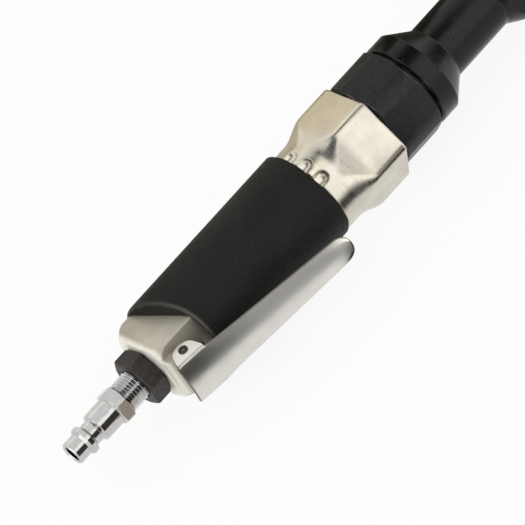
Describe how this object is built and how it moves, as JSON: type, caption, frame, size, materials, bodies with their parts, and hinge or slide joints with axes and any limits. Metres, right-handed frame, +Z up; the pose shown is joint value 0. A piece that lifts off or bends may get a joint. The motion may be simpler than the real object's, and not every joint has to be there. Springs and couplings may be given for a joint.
{
  "type": "air ratchet wrench",
  "caption": "Slim air ratchet wrench: coupling plug, rubber grip with a side throttle lever, vane motor, planetary gears and a reversing head with a square drive.",
  "frame": {"origin": "middle of the air plug's mouth, on the tool's axis", "axes": "+X along the tool from the air inlet to the ratchet head, +Y the way the square drive points (the throttle lever is on -Y), +Z up as the tool lies"},
  "size_m": [0.2943, 0.0683, 0.0411],
  "materials": {
    "plated_steel": "bright nickel-chrome plating on turned steel",
    "oxide_steel": "brown-black oxide on turned steel",
    "black_steel": "semi-gloss black oxide",
    "cast_aluminium": "polished casting",
    "grip_rubber": "moulded with a leather grain",
    "seal_rubber": "moulded",
    "pressed_steel": "satin nickel plating on pressed sheet",
    "valve_brass": "turned",
    "bronze": "turned",
    "spring_steel": "drawn wire",
    "motor_iron": "ground",
    "blade_composite": "pressed phenolic laminate",
    "bearing_steel": "ground and polished",
    "gear_steel": "hardened and ground",
    "ratchet_steel": "hardened, satin",
    "knob_steel": "satin dark plating"
  },
  "bodies": {
    "casing": {"inlet_plug": "plated_steel", "inlet_bush": "oxide_steel", "inlet_screen": "valve_brass", "housing": "cast_aluminium", "grip_sleeve": "grip_rubber", "lever_pin": "oxide_steel", "valve_seat": "valve_brass", "valve_cap": "valve_brass", "valve_cap_o_ring": "seal_rubber", "stem_o_ring": "seal_rubber", "valve_spring": "spring_steel", "rear_end_plate": "motor_iron", "front_end_plate": "motor_iron", "cylinder": "motor_iron", "cylinder_dowel": "gear_steel", "rear_bearing_outer": "bearing_steel", "front_bearing_outer": "bearing_steel", "gear_case": "black_steel", "ring_gear": "gear_steel", "crank_bush_rear": "bronze", "crank_bush_front": "bronze", "ratchet_head": "black_steel"},
    "lever": {"lever": "pressed_steel"},
    "valve": {"valve_stem": "gear_steel", "valve_disc": "seal_rubber"},
    "rotor": {"rotor": "gear_steel", "sun_gear": "gear_steel", "rear_bearing_inner": "bearing_steel", "front_bearing_inner": "bearing_steel", "rotor_blade_1": "blade_composite", "rotor_blade_2": "blade_composite", "rotor_blade_3": "blade_composite", "rotor_blade_4": "blade_composite", "rotor_blade_5": "blade_composite"},
    "rear_balls": {"rear_bearing_balls": "bearing_steel"},
    "front_balls": {"front_bearing_balls": "bearing_steel"},
    "crank": {"crankshaft": "gear_steel", "planet_pin_1": "gear_steel", "planet_pin_2": "gear_steel", "planet_pin_3": "gear_steel"},
    "planet_1": {"planet_gear_1": "gear_steel"},
    "planet_2": {"planet_gear_2": "gear_steel"},
    "planet_3": {"planet_gear_3": "gear_steel"},
    "drive_bushing": {"drive_bushing": "bronze"},
    "yoke": {"yoke": "ratchet_steel"},
    "anvil": {"anvil": "ratchet_steel", "thrust_washer": "ratchet_steel", "retaining_ring": "spring_steel", "pawl_pin": "ratchet_steel", "socket_ball_spring": "spring_steel"},
    "pawl": {"pawl": "ratchet_steel"},
    "reverse_knob": {"reverse_knob": "knob_steel", "pawl_plunger": "ratchet_steel", "pawl_plunger_spring": "spring_steel"},
    "socket_ball": {"socket_ball": "bearing_steel"}
  },
  "joints": [
    {"name": "lever_press", "type": "hinge", "parent": "casing", "child": "lever", "pos_m": [0.05195, -0.0191, 0], "axis": [0, 0, 1], "range_deg": [0, 8.8], "stiffness_Nm_per_rad": 0.5, "springref_deg": -2.86},
    {"name": "valve_travel", "type": "slide", "parent": "casing", "child": "valve", "axis": [0, 1, 0], "range_m": [0, 0.00135], "deforming": ["valve_spring"]},
    {"name": "rotor_spin", "type": "hinge", "parent": "casing", "child": "rotor", "pos_m": [0.124, 0, 0], "axis": [1, 0, 0], "continuous": true},
    {"name": "rear_balls_spin", "type": "hinge", "parent": "casing", "child": "rear_balls", "pos_m": [0.095, 0, 0], "axis": [1, 0, 0], "continuous": true},
    {"name": "front_balls_spin", "type": "hinge", "parent": "casing", "child": "front_balls", "pos_m": [0.153, 0, 0], "axis": [1, 0, 0], "continuous": true},
    {"name": "crank_spin", "type": "hinge", "parent": "casing", "child": "crank", "pos_m": [0.21, 0, 0], "axis": [1, 0, 0], "continuous": true},
    {"name": "planet_1_spin", "type": "hinge", "parent": "crank", "child": "planet_1", "pos_m": [0.175, 0.0096, 0], "axis": [1, 0, 0], "continuous": true},
    {"name": "planet_2_spin", "type": "hinge", "parent": "crank", "child": "planet_2", "pos_m": [0.175, -0.0048, 0.00831], "axis": [1, 0, 0], "continuous": true},
    {"name": "planet_3_spin", "type": "hinge", "parent": "crank", "child": "planet_3", "pos_m": [0.175, -0.0048, -0.00831], "axis": [1, 0, 0], "continuous": true},
    {"name": "bushing_turn", "type": "hinge", "parent": "crank", "child": "drive_bushing", "pos_m": [0.245, 0.0013, 0], "axis": [1, 0, 0], "continuous": true},
    {"name": "yoke_swing", "type": "hinge", "parent": "casing", "child": "yoke", "pos_m": [0.2738, 0, 0], "axis": [0, 1, 0], "range_deg": [-2.5, 2.5]},
    {"name": "anvil_turn", "type": "hinge", "parent": "casing", "child": "anvil", "pos_m": [0.2738, 0, 0], "axis": [0, 1, 0], "continuous": true},
    {"name": "knob_turn", "type": "hinge", "parent": "anvil", "child": "reverse_knob", "pos_m": [0.2738, 0, 0], "axis": [0, 1, 0], "range_deg": [0, 50]},
    {"name": "pawl_rock", "type": "hinge", "parent": "anvil", "child": "pawl", "pos_m": [0.2832, 0, 0], "axis": [0, 1, 0], "range_deg": [-16, 0]},
    {"name": "socket_ball_press", "type": "slide", "parent": "anvil", "child": "socket_ball", "axis": [-1, 0, 0], "range_m": [0, 0.0009], "stiffness_N_per_m": 400, "springref_m": -0.001, "deforming": ["socket_ball_spring"]}
  ],
  "couplings": [
    {"joint": "valve_travel", "follows": "lever_press", "m_per_rad": 0.0087376},
    {"joint": "rear_balls_spin", "follows": "rotor_spin", "ratio": 0.3885},
    {"joint": "front_balls_spin", "follows": "rotor_spin", "ratio": 0.3885},
    {"joint": "crank_spin", "follows": "rotor_spin", "ratio": 0.25},
    {"joint": "planet_1_spin", "follows": "rotor_spin", "ratio": -0.75},
    {"joint": "planet_2_spin", "follows": "rotor_spin", "ratio": -0.75},
    {"joint": "planet_3_spin", "follows": "rotor_spin", "ratio": -0.75},
    {"joint": "bushing_turn", "follows": "rotor_spin", "ratio": -0.25},
    {"joint": "pawl_rock", "follows": "knob_turn", "ratio": -0.32}
  ]
}
